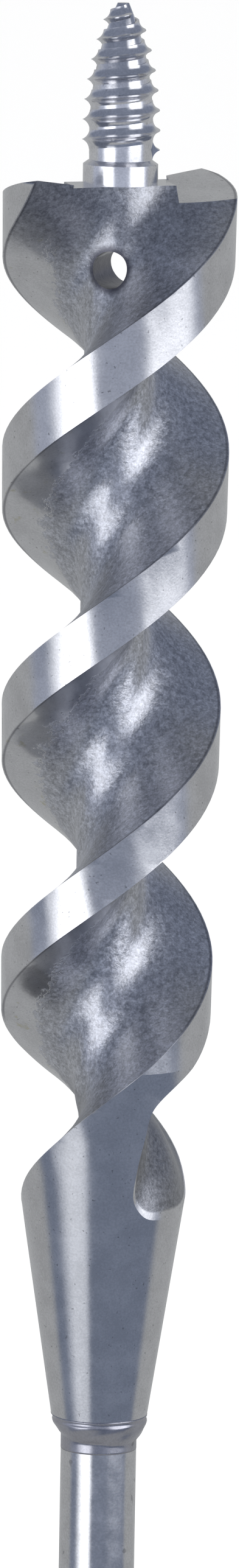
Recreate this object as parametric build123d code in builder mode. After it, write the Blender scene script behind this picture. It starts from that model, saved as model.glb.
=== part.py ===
from build123d import *

import os
from math import cos, radians, sin, tan

# Flexible-shank auger bit: a twisted two-flute head on a thin round rod.
# The origin is the centre of the shank's end face, and +Z runs along the axis to the tip
# of the feed screw. Lengths are in millimetres and angles in degrees, from +X towards +Y.
# A depth is measured down from the lips, and a height is measured from the shank's end.

# ---- Driving dimensions: whole tool
overall_length = 457.2
screw_reach = 14.0                 # tip of the feed screw above the lips
lip_level = overall_length - screw_reach

# ---- Head
lip_radius = 9.71                  # outside radius of the lands at the lips
land_taper = 0.0136                # radius lost per mm of depth along the lands
cone_top = 74.0                    # depth where the lands end in the cone
cone_bottom = 104.4                # depth of the head's end face
cone_end_radius = 4.04
cone_top_radius = lip_radius - land_taper * cone_top
cone_taper = (cone_top_radius - cone_end_radius) / (cone_bottom - cone_top)

# ---- Flutes: two, right-hand
twist_lead = 42.0                  # axial travel of one full turn
corner_angle = 61.0                # leading corner of the first land at the lips
land_angle_top = 47.0              # angle a land spans at the lips
land_angle_loss = 0.15             # angle lost per mm of depth
web_ratio = 0.284                  # core radius over outside radius
web_gain = 0.00026                 # growth of that ratio per mm of depth
leading_wall = 11.5                # steepness of the walls behind and before a land
trailing_wall = 10.6
filed_angle = 17.0                 # how far a lip's rake face is filed back
filed_depth = 5.0
filed_power = 1.6
flute_over = 3.0                   # how far a flute's cutter starts above the lips
flute_step = 3.0                   # spacing of the flute's sections
flute_shares = (-0.012, 0.03, 0.09, 0.18, 0.32, 0.5, 0.68, 0.82, 0.91, 0.97, 1.012)   # past both corners
runout_length = 13.5               # stretch where the flute floor climbs to the cone
runout_ends = (90.6, 94.0)         # depth where each flute dies out
runout_lead = 120.0                # travel of the leading corner along the run-out
runout_trail = 12.0                # travel of the trailing corner along it
runout_corner_power = 0.75
runout_floor_power = 2.1
runout_shares = (1, 0.84, 0.69, 0.55, 0.42, 0.3, 0.19, 0.1, 0.03, 0)   # sections along the run-out
runout_floor = 1.05                # floor over cone radius at the very end
least_wall = 0.08                  # least height of a flute's walls over the radius
blank_over = 0.7                   # stock above the lips before they are ground
cutter_ratio = 1.3                 # outer radius of a flute's cutter over the head's

# ---- Lips and web
lip_facet_angle = 12.0             # direction the first facet faces outwards
lip_relief = 14.1                  # clearance behind each cutting edge
lip_dish = 3.3                     # fall of each facet towards the axis
lip_drop = 1.86                    # depth of both facets' planes at the axis
lip_inner = 4.4                    # inner limit of the ground facets
lip_wear = 0.45                    # worn outer corners
web_overlap = 0.6                  # how far the flat round the screw runs into the facets
web_top = 0.9                      # depth of the flat round the feed screw
hole_radius = 1.55                 # wire-pulling hole through the web
hole_depth = 7.8
hole_angle = 74.0

# ---- Feed screw
thread_pitch = 1.65
crest_radius = 3.18
crest_start = 2.0                  # height above the lips where the screw starts to taper
crest_length = 13.6
crest_power = 2.3
thread_depth = 0.60
thread_loss = 0.02                 # thread depth lost per mm of height
thread_half_base = 0.78
thread_root_sink = 0.25
thread_from = 1.9                  # first and last heights of the thread above the lips
thread_to = 13.2
thread_sections = 12               # points per turn of the thread's path
thread_count = int((thread_to - thread_from) / thread_pitch * thread_sections)
core_points = 8                    # steps along the line of the screw's core
thread_hollow = 0.28               # how hollow its flanks are, over height and half width
thread_hollow_half = 0.42
collar_radius = 3.10
collar_top = 1.1
collar_edge = 0.35                 # fall of the collar's rounded top edge
spigot_radius = 1.80
spigot_depth = 5.9

# ---- Shank rod and braze
rod_radius = 6.35 / 2
tenon_radius = 3.0                 # reduced end of the rod, through the braze and into the head
socket_length = 12.0               # depth of the tenon inside the head
rod_chamfer = 0.5
braze_length = 2.8                 # braze fillet below the head
braze_waist_radius = 3.85
braze_waist_depth = 1.0
fit_gap = 0.05
shank_hole_radius = 1.55
shank_hole_height = 12.0

grow_up = (Align.CENTER, Align.CENTER, Align.MIN)
grow_up_and_out = (Align.MIN, Align.CENTER, Align.MIN)


def level(depth):
    """Height above the shank end of a depth below the lips."""
    return lip_level - depth


def polar(radius, angle):
    """Point at a radius and an angle."""
    return (radius * cos(radians(angle)), radius * sin(radians(angle)))


def head_radius(depth):
    """Outside radius of the head, along the lands and then the cone."""
    if depth <= cone_top:
        return lip_radius - land_taper * depth
    return cone_top_radius - cone_taper * (depth - cone_top)


def flute_opening(depth, end):
    """Leading and trailing corner of a flute, turning with the twist, and its floor ratio."""
    filed = max(0.0, 1.0 - max(depth, 0.0) / filed_depth)
    leading = -filed_angle * filed ** filed_power
    trailing = 180.0 - land_angle_top + land_angle_loss * depth
    floor = web_ratio + web_gain * depth
    left = (end - depth) / runout_length
    if left < 1.0:
        closing = 1.0 - max(left, 0.0) ** runout_corner_power
        leading = runout_lead * closing
        trailing = trailing - runout_trail * closing
        floor = runout_floor - (runout_floor - floor) * max(left, 0.0) ** runout_floor_power
    return leading, trailing, floor


def flute_floor(depth, end):
    """Points across a flute from the leading corner of one land to the trailing corner of the next."""
    leading, trailing, floor = flute_opening(depth, end)
    radius = head_radius(depth)
    turn = corner_angle - 360.0 * depth / twist_lead
    points = []
    for share in flute_shares:
        wall = max(1 - share, 0) ** leading_wall + max(share, 0) ** trailing_wall
        angle = turn + leading + share * (trailing - leading)
        points.append(polar(radius * (floor + max(1 - floor, least_wall) * wall), angle))
    return points


def chord_parameters(points):
    """Share of a line's length at each of its points."""
    steps = [(Vector(b) - Vector(a)).length for a, b in zip(points, points[1:])]
    return [sum(steps[:n]) / sum(steps) for n in range(len(points))]


def flute_depths(end):
    """Depths of a flute's sections: even along the lands, closer along the run-out."""
    start = end - runout_length
    count = int((start + flute_over) / flute_step)
    even = [-flute_over + (start + flute_over) * n / count for n in range(count)]
    return even + [end - runout_length * share for share in runout_shares]


def lip_plane(angle):
    """Ground facet of a lip, falling behind the cutting edge and towards the axis."""
    outward = Vector(*polar(1, angle), tan(radians(lip_dish)))
    forward = Vector(*polar(1, angle + 90), tan(radians(lip_relief)))
    return Plane(origin=(0, 0, level(lip_drop)), x_dir=outward, z_dir=outward.cross(forward))


def crest(height):
    """Crest radius of the feed screw at a height above the lips."""
    past = max(0.0, height - crest_start) / crest_length
    return crest_radius * (1.0 - past ** crest_power)


def root(height):
    """Root radius of the feed screw at a height above the lips."""
    return crest(height) - thread_depth + thread_loss * height


def thread_point(turns):
    """Point on the thread's root after some turns from its foot."""
    height = thread_from + thread_pitch * turns
    return (*polar(root(height), 360 * turns), level(-height))


# ---- Flute cutters: sections of the open space, turned with the twist
def flute_cutter(end, half_turn):
    """Space of one flute, from above the lips to the depth where it dies out."""
    parameters = chord_parameters(flute_floor(0, end))
    with BuildPart() as cutter:
        for depth in flute_depths(end):
            plane = Plane.XY.offset(level(depth)).rotated((0, 0, half_turn))
            points = flute_floor(depth, end)
            outer = cutter_ratio * head_radius(depth)
            leading, trailing, _ = flute_opening(depth, end)
            turn = corner_angle - 360.0 * depth / twist_lead
            rim = [polar(outer, turn + leading + share * (trailing - leading)) for share in (0, 0.5, 1)]
            with BuildSketch(plane):
                with BuildLine():
                    add(Edge.make_spline([Vector(*point) for point in points], parameters=parameters))
                    Line(points[-1], rim[2])
                    ThreePointArc(rim[2], rim[1], rim[0])
                    Line(rim[0], points[0])
                make_face()
        loft()
    return cutter.part


first_flute = flute_cutter(runout_ends[0], 180)
second_flute = flute_cutter(runout_ends[1], 0)

# ---- Auger head: tapered lands and cone, less the flutes, lips, sockets and wire hole
with BuildPart() as auger_head:
    with BuildSketch(Plane.XZ):
        with BuildLine():
            Polyline(
                (0, level(cone_bottom)),
                (cone_end_radius, level(cone_bottom)),
                (cone_top_radius, level(cone_top)),
                (head_radius(lip_wear), level(lip_wear)),
                (head_radius(0) - lip_wear - blank_over, level(-blank_over)),
                (0, level(-blank_over)),
                close=True,
            )
        make_face()
    revolve(axis=Axis.Z)
    add(first_flute, mode=Mode.SUBTRACT)
    add(second_flute, mode=Mode.SUBTRACT)
    for angle in (lip_facet_angle, lip_facet_angle + 180):
        with Locations(lip_plane(angle).location * Location((lip_inner, 0, 0))):
            Box(2 * lip_radius, 4 * lip_radius, lip_radius, align=grow_up_and_out, mode=Mode.SUBTRACT)
    with Locations(Location((0, 0, level(web_top)), (0, 0, lip_facet_angle))):
        Box(2 * lip_inner + web_overlap, 4 * lip_radius, lip_radius, align=grow_up, mode=Mode.SUBTRACT)
    with Locations((0, 0, level(spigot_depth + fit_gap))):
        Cylinder(spigot_radius + fit_gap, spigot_depth, align=grow_up, mode=Mode.SUBTRACT)
    with Locations((0, 0, level(cone_bottom))):
        Cylinder(tenon_radius + fit_gap, socket_length + fit_gap, align=grow_up, mode=Mode.SUBTRACT)
    with Locations(Plane(origin=(0, 0, level(hole_depth)), z_dir=(*polar(1, hole_angle), 0))):
        Cylinder(hole_radius, 4 * lip_radius, mode=Mode.SUBTRACT)

# ---- Feed screw: plain collar, spigot held in the head's web, and a tapered right-hand thread
with BuildLine() as thread_path:
    Spline(*[thread_point(n / thread_sections) for n in range(thread_count + 1)])
thread_plane = Plane(origin=thread_path.line @ 0, x_dir=(1, 0, 0), z_dir=thread_path.line % 0)

with BuildPart() as feed_screw:
    with BuildSketch(Plane.XZ):
        with BuildLine():
            core_step = (screw_reach - collar_top) / core_points
            heights = [collar_top + core_step * n for n in range(core_points + 1)]
            core_line = Spline(*[(root(height), level(-height)) for height in heights])
            Polyline(
                core_line @ 0,
                (collar_radius, level(collar_edge - collar_top)),
                (collar_radius, level(web_top)),
                (spigot_radius, level(web_top)),
                (spigot_radius, level(spigot_depth)),
                (0, level(spigot_depth)),
                (0, level(-screw_reach)),
                core_line @ 1,
            )
        make_face()
    revolve(axis=Axis.Z)
    with BuildSketch(thread_plane):
        with BuildLine():
            foot = thread_half_base
            waist = (thread_hollow * thread_depth, thread_hollow_half * foot)
            ThreePointArc((0, -foot), (waist[0], -waist[1]), (thread_depth, 0))
            ThreePointArc((thread_depth, 0), waist, (0, foot))
            Polyline((0, foot), (-thread_root_sink, foot), (-thread_root_sink, -foot), (0, -foot))
        make_face()
    sweep(path=thread_path.line, is_frenet=True)

# ---- Braze fillet between the head's end face and the rod
with BuildPart() as braze_fillet:
    with BuildSketch(Plane.XZ):
        with BuildLine():
            Polyline(
                (tenon_radius + fit_gap, level(cone_bottom)),
                (cone_end_radius, level(cone_bottom)),
                (braze_waist_radius, level(cone_bottom + braze_waist_depth)),
                (rod_radius, level(cone_bottom + braze_length)),
                (tenon_radius + fit_gap, level(cone_bottom + braze_length)),
                close=True,
            )
        make_face()
    revolve(axis=Axis.Z)

# ---- Shank rod: round rod with a tenon brazed into the head, and a wire-pulling hole near its end
with BuildPart() as shank_rod:
    rod_top = level(cone_bottom + braze_length)
    Cylinder(rod_radius, rod_top, align=grow_up)
    chamfer(shank_rod.edges().sort_by(Axis.Z)[0], rod_chamfer)
    with Locations((0, 0, rod_top)):
        Cylinder(tenon_radius, braze_length + socket_length, align=grow_up)
    with Locations(Plane(origin=(0, 0, shank_hole_height), z_dir=(0, 1, 0))):
        Cylinder(shank_hole_radius, 4 * rod_radius, mode=Mode.SUBTRACT)

# ---- Write each piece to its own file
os.makedirs("parts", exist_ok=True)
auger_head.part.label = "auger_head"
feed_screw.part.label = "feed_screw"
braze_fillet.part.label = "braze_fillet"
shank_rod.part.label = "shank_rod"
for piece in (auger_head, feed_screw, braze_fillet, shank_rod):
    export_step(piece.part, f"parts/{piece.part.label}.step")
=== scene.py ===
import math

import bmesh
import bpy
from mathutils import Matrix, Vector


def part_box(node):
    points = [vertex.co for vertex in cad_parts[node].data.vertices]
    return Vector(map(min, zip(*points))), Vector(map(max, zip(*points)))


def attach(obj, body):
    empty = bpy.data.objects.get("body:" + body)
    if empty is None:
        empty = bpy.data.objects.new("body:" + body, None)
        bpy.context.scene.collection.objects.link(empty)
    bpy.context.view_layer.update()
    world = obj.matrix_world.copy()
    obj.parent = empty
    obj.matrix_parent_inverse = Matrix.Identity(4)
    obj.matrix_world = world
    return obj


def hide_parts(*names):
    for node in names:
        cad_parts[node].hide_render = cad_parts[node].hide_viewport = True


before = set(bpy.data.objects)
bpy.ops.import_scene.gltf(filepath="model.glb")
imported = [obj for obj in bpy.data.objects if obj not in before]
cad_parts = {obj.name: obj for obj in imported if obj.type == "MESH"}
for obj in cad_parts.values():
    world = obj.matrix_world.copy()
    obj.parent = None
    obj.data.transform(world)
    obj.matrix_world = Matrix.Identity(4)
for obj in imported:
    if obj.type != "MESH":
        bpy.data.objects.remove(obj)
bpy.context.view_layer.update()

# Lengths are in metres and angles in degrees. The tool's axis is +Z, and its front is towards -Y.
# Directions round the axis are measured from +X towards +Y.
MM = 0.001
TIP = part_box("feed_screw")[1].z
HEAD_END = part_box("auger_head")[0].z
SCREW_REACH = 14.0 * MM            # how far the feed screw reaches past the lips
LIPS = TIP - SCREW_REACH

# Head proportions, as built
LIP_RADIUS = 9.71 * MM
LAND_TAPER = 0.0136
CONE_DEPTH = 74.0 * MM
CONE_TOP_RADIUS = LIP_RADIUS - LAND_TAPER * CONE_DEPTH
CONE_END_RADIUS = 4.04 * MM
CONE_TAPER = (CONE_TOP_RADIUS - CONE_END_RADIUS) / (LIPS - CONE_DEPTH - HEAD_END)
HOLE_RADIUS = 1.55 * MM
HOLE_DEPTH = 7.8 * MM
HOLE_ANGLE = 74.0                  # direction of the wire hole's axis
ROD_RADIUS = 3.175 * MM

# ---- Camera: a long lens, a little above the middle of the head and rolled a touch
LENS = 230.0
SENSOR = 36.0
VIEW_HEIGHT = 130.34 * MM          # height of the picture at the tool's axis
VIEW_DOWN = 9.0                    # how far the camera looks down
VIEW_ROLL = 1.0
VIEW_DEPTH = 50.96 * MM            # depth of the picture's middle below the lips
VIEW_SIDE = 0.8 * MM


def make_camera():
    """Camera in front of the head, at the height and tilt of the view."""
    data = bpy.data.cameras.new("camera")
    data.lens = LENS
    data.sensor_width = SENSOR
    data.clip_start = 0.01
    data.clip_end = 50.0
    camera = bpy.data.objects.new("camera", data)
    bpy.context.scene.collection.objects.link(camera)
    down = math.radians(VIEW_DOWN)
    roll = math.radians(VIEW_ROLL)
    forward = Vector((0, math.cos(down), -math.sin(down)))
    level_right = Vector((1, 0, 0))
    level_up = level_right.cross(forward)
    right = math.cos(roll) * level_right + math.sin(roll) * level_up
    up = math.cos(roll) * level_up - math.sin(roll) * level_right
    turn = Matrix((right, up, -forward)).transposed().to_4x4()
    distance = LENS * VIEW_HEIGHT / SENSOR
    target = Vector((0, 0, LIPS - VIEW_DEPTH)) + VIEW_SIDE * right
    camera.matrix_world = Matrix.Translation(target - distance * forward) @ turn
    bpy.context.scene.camera = camera


# ---- Shorthand for node trees
def put(tree, socket, value):
    """Links a socket to another socket, or sets its value."""
    if isinstance(value, bpy.types.NodeSocket):
        tree.links.new(value, socket)
    elif value is not None:
        socket.default_value = value


def maths(tree, operation, first, second=None):
    """Output of a Math node."""
    made = tree.nodes.new("ShaderNodeMath")
    made.operation = operation
    put(tree, made.inputs[0], first)
    put(tree, made.inputs[1], second)
    return made.outputs[0]


def ramp(tree, value, start, end, low=0.0, high=1.0, smooth=True):
    """Value mapped from start..end to low..high and held beyond."""
    made = tree.nodes.new("ShaderNodeMapRange")
    made.interpolation_type = "SMOOTHSTEP" if smooth else "LINEAR"
    for name, number in (("From Min", start), ("From Max", end), ("To Min", low), ("To Max", high)):
        put(tree, made.inputs[name], number)
    put(tree, made.inputs["Value"], value)
    return made.outputs["Result"]


def product(tree, first, *others):
    """Product of values."""
    for other in others:
        first = maths(tree, "MULTIPLY", first, other)
    return first


def largest(tree, first, *others):
    """Largest of values."""
    for other in others:
        first = maths(tree, "MAXIMUM", first, other)
    return first


def noise(tree, place, size, detail=3.0, rough=0.55):
    """Noise of one grain size, about 0.5 on average."""
    made = tree.nodes.new("ShaderNodeTexNoise")
    made.inputs["Scale"].default_value = 1.0 / size
    made.inputs["Detail"].default_value = detail
    made.inputs["Roughness"].default_value = rough
    put(tree, made.inputs["Vector"], place)
    return made.outputs["Fac"]


def blend(tree, share, first, second, kind="MIX"):
    """Colour mixed from two."""
    made = tree.nodes.new("ShaderNodeMix")
    made.data_type = "RGBA"
    made.blend_type = kind
    put(tree, made.inputs["Factor"], share)
    put(tree, made.inputs["A"], first)
    put(tree, made.inputs["B"], second)
    return made.outputs["Result"]


# ---- Studio: pale floor and surroundings, and two soft boxes in front that only reflections see
FLOOR_SIZE = 30.0
FLOOR_GAP = 0.2 * MM               # below the shank's end
FLOOR_COLOUR = (0.96, 0.96, 0.96, 1)
FLOOR_ROUGHNESS = 0.9
SURROUND_GLOW = 1.07
KEY_LIGHT_PLACE = Vector((-0.6, -0.9, TIP + 1.0))
KEY_LIGHT_SIZE = 0.8
KEY_LIGHT_POWER = 12.0

# Colours of the reflected room, and the heights and directions over which each gives way to the next.
# Directions in the room are measured from the front, -Y, towards +X, and heights up from level.
ROOM_LOW = (0.215, 0.25, 0.335, 1)
ROOM_LEVEL = (0.54, 0.58, 0.70, 1)
ROOM_HIGH = (0.21, 0.24, 0.32, 1)
ROOM_GREY = (0.47, 0.48, 0.49, 1)  # behind the tool and straight below
LOW_TO_LEVEL = (-14.0, -6.0)
LEVEL_TO_HIGH = (2.0, 18.0)
GREY_BELOW = (-52.0, -38.0)
GREY_BESIDE = (84.0, 98.0)
GREY_BESIDE_TOP = (-2.0, 14.0)     # the sides are grey only below these heights
GREY_BEHIND = (135.0, 165.0)

# Each soft box: directions where it fades in, is full, is full and has faded out (left to right), then
# heights where it fades in, is full, is full and has faded out (bottom to top), and its brightness
SOFT_BOXES = (
    ((-74, -46, -28, -17), (-38, -10, -2, 16), 1.9),
    ((24, 36, 72, 86), (-11, -4, 16, 36), 1.9),
)


def make_floor():
    """Plain pale floor just under the shank's end."""
    mesh = bpy.data.meshes.new("studio_floor")
    half = FLOOR_SIZE / 2
    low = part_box("shank_rod")[0].z - FLOOR_GAP
    corners = [(-half, -half, low), (half, -half, low), (half, half, low), (-half, half, low)]
    mesh.from_pydata(corners, [], [(0, 1, 2, 3)])
    floor = bpy.data.objects.new("studio_floor", mesh)
    bpy.context.scene.collection.objects.link(floor)
    paint = bpy.data.materials.new("floor_paint")
    paint.use_nodes = True
    shader = paint.node_tree.nodes["Principled BSDF"]
    shader.inputs["Base Color"].default_value = FLOOR_COLOUR
    shader.inputs["Roughness"].default_value = FLOOR_ROUGHNESS
    mesh.materials.append(paint)
    floor.visible_glossy = False


def soft_box(tree, azimuth, height, box):
    """Glow of one soft box at a direction of the room."""
    across, up, glow = box
    left = ramp(tree, azimuth, across[0], across[1])
    right = ramp(tree, azimuth, across[2], across[3], 1.0, 0.0)
    bottom = ramp(tree, height, up[0], up[1], smooth=False)
    top = ramp(tree, height, up[2], up[3], 1.0, 0.0)
    return product(tree, left, right, bottom, top, glow)


def room_colour(tree):
    """Colour of the reflected room in each direction."""
    split = tree.nodes.new("ShaderNodeSeparateXYZ")
    put(tree, split.inputs[0], tree.nodes.new("ShaderNodeTexCoord").outputs["Generated"])
    toward = maths(tree, "MULTIPLY", split.outputs["Y"], -1.0)
    azimuth = maths(tree, "DEGREES", maths(tree, "ARCTAN2", split.outputs["X"], toward))
    height = maths(tree, "DEGREES", maths(tree, "ARCSINE", split.outputs["Z"]))
    aside = maths(tree, "ABSOLUTE", azimuth)
    beside = ramp(tree, aside, *GREY_BESIDE)
    beside = product(tree, beside, ramp(tree, height, *GREY_BESIDE_TOP, 1.0, 0.0))
    behind = ramp(tree, aside, *GREY_BEHIND)
    grey = largest(tree, beside, behind, ramp(tree, height, *GREY_BELOW, 1.0, 0.0))
    base = blend(tree, ramp(tree, height, *LOW_TO_LEVEL), ROOM_LOW, ROOM_LEVEL)
    base = blend(tree, ramp(tree, height, *LEVEL_TO_HIGH), base, ROOM_HIGH)
    base = blend(tree, grey, base, ROOM_GREY)
    glow = maths(tree, "ADD", *(soft_box(tree, azimuth, height, box) for box in SOFT_BOXES))
    return blend(tree, 1.0, base, glow, "ADD")


def make_world():
    """Pale surroundings, and for reflections a dim blue room with a grey back and two soft boxes."""
    world = bpy.data.worlds.new("studio_world")
    bpy.context.scene.world = world
    world.use_nodes = True
    tree = world.node_tree
    tree.nodes.clear()
    out = tree.nodes.new("ShaderNodeOutputWorld")
    pale = tree.nodes.new("ShaderNodeBackground")
    pale.inputs["Color"].default_value = (1, 1, 1, 1)
    pale.inputs["Strength"].default_value = SURROUND_GLOW
    room = tree.nodes.new("ShaderNodeBackground")
    put(tree, room.inputs["Color"], room_colour(tree))
    mix = tree.nodes.new("ShaderNodeMixShader")
    put(tree, mix.inputs[0], tree.nodes.new("ShaderNodeLightPath").outputs["Is Glossy Ray"])
    put(tree, mix.inputs[1], pale.outputs[0])
    put(tree, mix.inputs[2], room.outputs[0])
    put(tree, out.inputs[0], mix.outputs[0])


def make_key_light():
    """Soft light from above, for a gentle shadow on the floor."""
    data = bpy.data.lights.new("key_light", "AREA")
    data.size = KEY_LIGHT_SIZE
    data.energy = KEY_LIGHT_POWER
    light = bpy.data.objects.new("key_light", data)
    bpy.context.scene.collection.objects.link(light)
    light.location = KEY_LIGHT_PLACE
    light.rotation_mode = "QUATERNION"
    light.rotation_quaternion = (Vector((0, 0, LIPS)) - KEY_LIGHT_PLACE).to_track_quat("-Z", "Y")
    light.visible_glossy = False


# ---- Metals
GROUND = (0.62, 0.62, 0.63, 1)     # ground and drawn surfaces
FORGED = (0.55, 0.56, 0.60, 1)     # rough flutes
SCREW = (0.74, 0.74, 0.76, 1)
BRAZE = (0.42, 0.42, 0.46, 1)
PIT = (0.20, 0.20, 0.22, 1)
STAIN = (0.44, 0.42, 0.27, 1)      # old cutting oil
# painted shade: dark colour for the lines beside the lands and for in and round the wire hole
PAINTED_SHADE_COLOUR = (0.10, 0.10, 0.12, 1)

# Sizes of the head's marks
HEAD_GRAIN = 0.17 * MM
HEAD_SPECKLE = 0.42 * MM
HEAD_CLOUD = 2.2 * MM
LAND_SPECK = 0.30 * MM
OIL_SPOT = 1.7 * MM

# Stretches over which one surface gives way to the next. An inset is measured under the lands and the cone,
# and a depth below the lips.
LAND_EDGE = (0.05 * MM, 0.09 * MM)
CONE_EDGE = (0.12 * MM, 0.20 * MM)
CONE_STARTS = (72.0 * MM, 74.0 * MM)
FACET_TILT = (0.84, 0.90)          # upward part of the direction that the lips' facets face
FACET_ENDS = (3.0 * MM, 4.0 * MM)
WALL_TILT = (-0.42, -0.38)         # the same for the rake walls, which face down
WALL_RAGGED = 0.22
WALL_STARTS = (3.0 * MM, 8.0 * MM)
WEB_INSET = (3.0 * MM, 4.0 * MM)   # painted shade round the wire hole stays on the web
# painted shade: the flutes are darkened a little just behind the lips, with a ragged edge
LIPS_PAINTED_SHADE_END = (6.5 * MM, 9.0 * MM)
LIPS_PAINTED_SHADE_RAGGED = 3.0 * MM
# painted shade: the flutes are darkened where they run out into the cone
RUNOUT_PAINTED_SHADE = (75.0 * MM, 79.0 * MM)
LINE_STARTS = (0.08 * MM, 0.12 * MM)   # inset of the painted shade line beside each land
LINE_ENDS = (0.20 * MM, 0.34 * MM)
LINE_LAST = (70.0 * MM, 72.0 * MM)     # depth at which that line stops


def new_steel(name):
    """A metal, its node tree, its shader and the place it is looked up at."""
    steel = bpy.data.materials.new(name)
    steel.use_nodes = True
    tree = steel.node_tree
    shader = tree.nodes["Principled BSDF"]
    shader.inputs["Metallic"].default_value = 1.0
    place = tree.nodes.new("ShaderNodeTexCoord").outputs["Object"]
    return steel, tree, shader, place


def finish_steel(tree, shader, colour, roughness, bumps):
    """Links a steel's colour, roughness and bumps, each a height in metres."""
    put(tree, shader.inputs["Base Color"], colour)
    put(tree, shader.inputs["Roughness"], roughness)
    below = None
    for height, depth in bumps:
        bump = tree.nodes.new("ShaderNodeBump")
        bump.inputs["Strength"].default_value = 1.0
        bump.inputs["Distance"].default_value = depth
        put(tree, bump.inputs["Height"], height)
        put(tree, bump.inputs["Normal"], below)
        below = bump.outputs["Normal"]
    put(tree, shader.inputs["Normal"], below)


def make_plain_steel(name, colour, roughness, pits):
    """Drawn or cut steel with a fine grain, small stains and a few pits."""
    steel, tree, shader, place = new_steel(name)
    grain = noise(tree, place, 0.18 * MM, 2.0)
    cloud = noise(tree, place, 1.6 * MM, 4.0)
    tone = ramp(tree, maths(tree, "ADD", grain, cloud), 0.7, 1.3, 0.86, 1.1, smooth=False)
    tinted = blend(tree, 1.0, colour, tone, "MULTIPLY")
    pit = ramp(tree, noise(tree, place, 0.9 * MM, 1.0), 0.72, 0.76)
    tinted = blend(tree, product(tree, pit, pits), tinted, PIT)
    gloss = ramp(tree, cloud, 0.3, 0.7, roughness * 0.8, roughness * 1.25, smooth=False)
    finish_steel(tree, shader, tinted, gloss, ((grain, 0.0015 * MM), (cloud, 0.006 * MM)))
    return steel


def head_places(tree, place):
    """Depth below the lips, inset under the head's envelope, and distance from the wire hole's axis."""
    split = tree.nodes.new("ShaderNodeSeparateXYZ")
    put(tree, split.inputs[0], place)
    x, y, z = split.outputs
    square = maths(tree, "ADD", product(tree, x, x), product(tree, y, y))
    depth = maths(tree, "SUBTRACT", LIPS, z)
    land = maths(tree, "SUBTRACT", LIP_RADIUS, product(tree, depth, LAND_TAPER))
    past = maths(tree, "SUBTRACT", depth, CONE_DEPTH)
    cone = maths(tree, "SUBTRACT", CONE_TOP_RADIUS, product(tree, past, CONE_TAPER))
    inset = maths(tree, "SUBTRACT", maths(tree, "MINIMUM", land, cone), maths(tree, "SQRT", square))
    turn = math.radians(HOLE_ANGLE)
    across = maths(tree, "SUBTRACT", product(tree, y, math.cos(turn)), product(tree, x, math.sin(turn)))
    above = maths(tree, "SUBTRACT", depth, HOLE_DEPTH)
    square = maths(tree, "ADD", product(tree, across, across), product(tree, above, above))
    return depth, inset, maths(tree, "SQRT", square)


def head_masks(tree, depth, inset, speckle, cloud):
    """Shares of the ground surfaces and of the smooth rake walls, which face down and have a ragged edge."""
    facing = tree.nodes.new("ShaderNodeSeparateXYZ")
    put(tree, facing.inputs[0], tree.nodes.new("ShaderNodeTexCoord").outputs["Normal"])
    ragged = product(tree, maths(tree, "ADD", speckle, cloud), WALL_RAGGED)
    wall = ramp(tree, maths(tree, "ADD", facing.outputs["Z"], ragged), *WALL_TILT, 1.0, 0.0)
    wall = product(tree, wall, ramp(tree, depth, *WALL_STARTS))
    facet = ramp(tree, facing.outputs["Z"], *FACET_TILT)
    facet = product(tree, facet, ramp(tree, depth, *FACET_ENDS, 1.0, 0.0))
    cone = product(tree, ramp(tree, depth, *CONE_STARTS), ramp(tree, inset, *CONE_EDGE, 1.0, 0.0))
    land = ramp(tree, inset, *LAND_EDGE, 1.0, 0.0)
    return largest(tree, land, cone, facet), wall


def flute_colour(tree, depth, grain, speckle, cloud):
    """Rough speckled steel, with painted shade behind the lips and in the run-outs."""
    tone = ramp(tree, speckle, 0.36, 0.64, 0.68, 1.14, smooth=False)
    tone = product(tree, tone, ramp(tree, grain, 0.35, 0.65, 0.84, 1.14, smooth=False))
    tone = product(tree, tone, ramp(tree, cloud, 0.3, 0.7, 0.92, 1.06, smooth=False))
    # painted shade behind the lips
    ragged_depth = maths(tree, "ADD", depth, product(tree, cloud, LIPS_PAINTED_SHADE_RAGGED))
    tone = product(tree, tone, ramp(tree, ragged_depth, *LIPS_PAINTED_SHADE_END, 0.76, 1.0))
    # painted shade in the run-outs
    tone = product(tree, tone, ramp(tree, depth, *RUNOUT_PAINTED_SHADE, 1.0, 0.55))
    return blend(tree, 1.0, FORGED, tone, "MULTIPLY")


def ground_colour(tree, place, grain, cloud):
    """Ground steel with a fine grain and small dark specks."""
    tone = ramp(tree, maths(tree, "ADD", grain, cloud), 0.8, 1.2, 0.90, 1.07, smooth=False)
    specks = ramp(tree, noise(tree, place, LAND_SPECK, 1.0), 0.70, 0.78, 1.0, 0.55)
    return blend(tree, 1.0, GROUND, product(tree, tone, specks), "MULTIPLY")


def painted_shade_shares(tree, depth, inset, from_hole):
    """Shares of the painted shade lines beside the lands and of the painted shade in and round the wire
    hole.
    """
    # painted shade: a dark line just inside each land's edge
    line = product(tree, ramp(tree, inset, *LINE_STARTS), ramp(tree, inset, *LINE_ENDS, 1.0, 0.0))
    line = product(tree, line, ramp(tree, depth, *LINE_LAST, 0.55, 0.0))
    # painted shade: dark inside the wire hole and round its rim
    rim = ramp(tree, from_hole, 1.03 * HOLE_RADIUS, 1.5 * HOLE_RADIUS, 0.95, 0.0)
    return line, product(tree, rim, ramp(tree, inset, *WEB_INSET))


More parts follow.
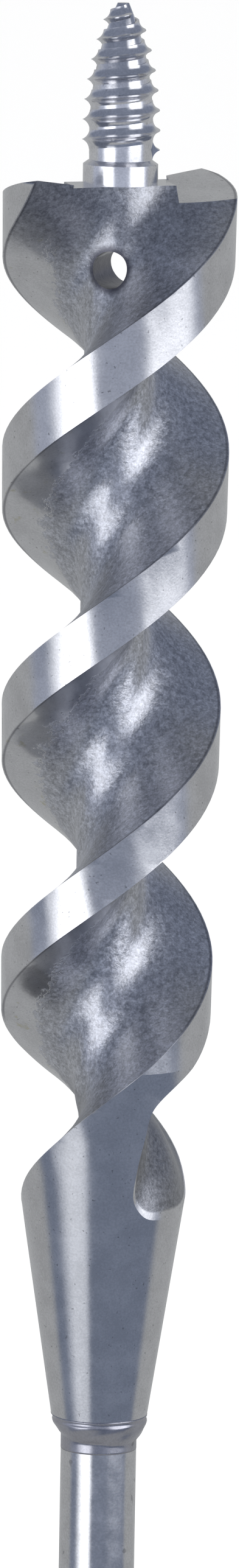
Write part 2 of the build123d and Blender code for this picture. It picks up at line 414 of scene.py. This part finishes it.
def make_head_steel():
    """Forged steel: ground lands and cone, smooth rake walls with oil stains, rough speckled flutes."""
    steel, tree, shader, place = new_steel("forged_steel")
    depth, inset, from_hole = head_places(tree, place)
    grain = noise(tree, place, HEAD_GRAIN, 2.0)
    speckle = noise(tree, place, HEAD_SPECKLE, 3.0, 0.7)
    cloud = noise(tree, place, HEAD_CLOUD, 4.0)
    ground, wall = head_masks(tree, depth, inset, speckle, cloud)
    smooth = largest(tree, ground, wall)

    flute = flute_colour(tree, depth, grain, speckle, cloud)
    colour = blend(tree, smooth, flute, ground_colour(tree, place, grain, cloud))
    oil = ramp(tree, noise(tree, place, OIL_SPOT, 3.0), 0.62, 0.72)
    colour = blend(tree, product(tree, oil, wall, 0.6), colour, STAIN)
    # painted shade beside the lands and in and round the wire hole
    for share in painted_shade_shares(tree, depth, inset, from_hole):
        colour = blend(tree, share, colour, PAINTED_SHADE_COLOUR)

    flute_gloss = ramp(tree, speckle, 0.3, 0.7, 0.29, 0.41, smooth=False)
    ground_gloss = ramp(tree, cloud, 0.3, 0.7, 0.14, 0.22, smooth=False)
    gloss = ramp(tree, smooth, 0.0, 1.0, flute_gloss, ground_gloss, smooth=False)
    coarse = product(tree, speckle, ramp(tree, smooth, 0.0, 1.0, 1.0, 0.1, smooth=False))
    bumps = ((grain, 0.0012 * MM), (coarse, 0.030 * MM), (cloud, 0.004 * MM))
    finish_steel(tree, shader, colour, gloss, bumps)
    return steel


# ---- Braze bead: an uneven ring that flows from the head's end face on to the rod
BEAD_SIDES = 120
BEAD_ROWS = 20
BEAD_LENGTH = 2.95 * MM            # down to the full rod, the last of it as a thin film
BEAD_SHOULDER = 1.9 * MM           # thick part of the bead
BEAD_TILT = 0.3 * MM               # how much longer the thick part is on one side
BEAD_TILT_DIRECTION = -35.0
BEAD_WAVE = 0.05 * MM              # unevenness of the thick part's lower edge
BEAD_LAP = 0.02 * MM               # how far the bead stands over the head's end
BEAD_FILM = 0.015 * MM
BEAD_ROUND = 0.8
BEAD_INSIDE = ROD_RADIUS - 0.1 * MM
SEAM_DEPTH = 0.14 * MM             # groove near the bead's top
SEAM_PLACE = 0.14
SEAM_WIDTH = 0.06
LUMPS = 0.05 * MM
SMALL_LUMPS = 0.035 * MM


def bead_radius(drop, turn):
    """Outside radius of the bead at a distance below the head and a direction in radians."""
    tilt = BEAD_TILT * math.cos(turn - math.radians(BEAD_TILT_DIRECTION))
    share = min(drop / (BEAD_SHOULDER + tilt + BEAD_WAVE * math.sin(5 * turn)), 1.0)
    foot = ROD_RADIUS + BEAD_FILM
    if share == 1.0:
        return foot
    shoulder = (CONE_END_RADIUS + BEAD_LAP - foot) * math.cos(share * math.pi / 2) ** BEAD_ROUND
    seam = SEAM_DEPTH * math.exp(-(((share - SEAM_PLACE) / SEAM_WIDTH) ** 2))
    lumps = LUMPS * math.sin(3 * turn + 1.0) + SMALL_LUMPS * math.sin(7 * turn + 9 * share)
    return foot + shoulder - seam + lumps * math.sin(math.pi * share)


def bead_ring(shape, radius_at, level):
    """One ring of the bead's points."""
    ring = []
    for side in range(BEAD_SIDES):
        turn = 2 * math.pi * side / BEAD_SIDES
        radius = radius_at(turn)
        ring.append(shape.verts.new((radius * math.cos(turn), radius * math.sin(turn), level)))
    return ring


def make_bead():
    """Closed mesh of the bead."""
    shape = bmesh.new()
    rings = []
    for row in range(BEAD_ROWS + 1):
        drop = BEAD_LENGTH * row / BEAD_ROWS
        rings.append(bead_ring(shape, lambda turn: bead_radius(drop, turn), HEAD_END - drop))
    for level in (HEAD_END - BEAD_LENGTH, HEAD_END):
        rings.append(bead_ring(shape, lambda turn: BEAD_INSIDE, level))
    for row, ring in enumerate(rings):
        below = rings[(row + 1) % len(rings)]
        for side in range(BEAD_SIDES):
            after = (side + 1) % BEAD_SIDES
            shape.faces.new((ring[side], below[side], below[after], ring[after])).smooth = row < BEAD_ROWS
    bmesh.ops.recalc_face_normals(shape, faces=shape.faces)
    mesh = bpy.data.meshes.new("braze_bead")
    shape.to_mesh(mesh)
    shape.free()
    bead = bpy.data.objects.new("braze_bead", mesh)
    bpy.context.scene.collection.objects.link(bead)
    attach(bead, "root")
    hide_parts("braze_fillet")
    return bead


bpy.context.scene.view_settings.view_transform = "Standard"
make_camera()
make_floor()
make_world()
make_key_light()
make_bead().data.materials.append(make_plain_steel("braze_metal", BRAZE, 0.26, 0.7))

metals = {
    "auger_head": make_head_steel(),
    "feed_screw": make_plain_steel("screw_steel", SCREW, 0.18, 0.4),
    "shank_rod": make_plain_steel("rod_steel", GROUND, 0.16, 0.5),
}
for node, metal in metals.items():
    cad_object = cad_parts[node]
    cad_object.data.materials.clear()
    cad_object.data.materials.append(metal)
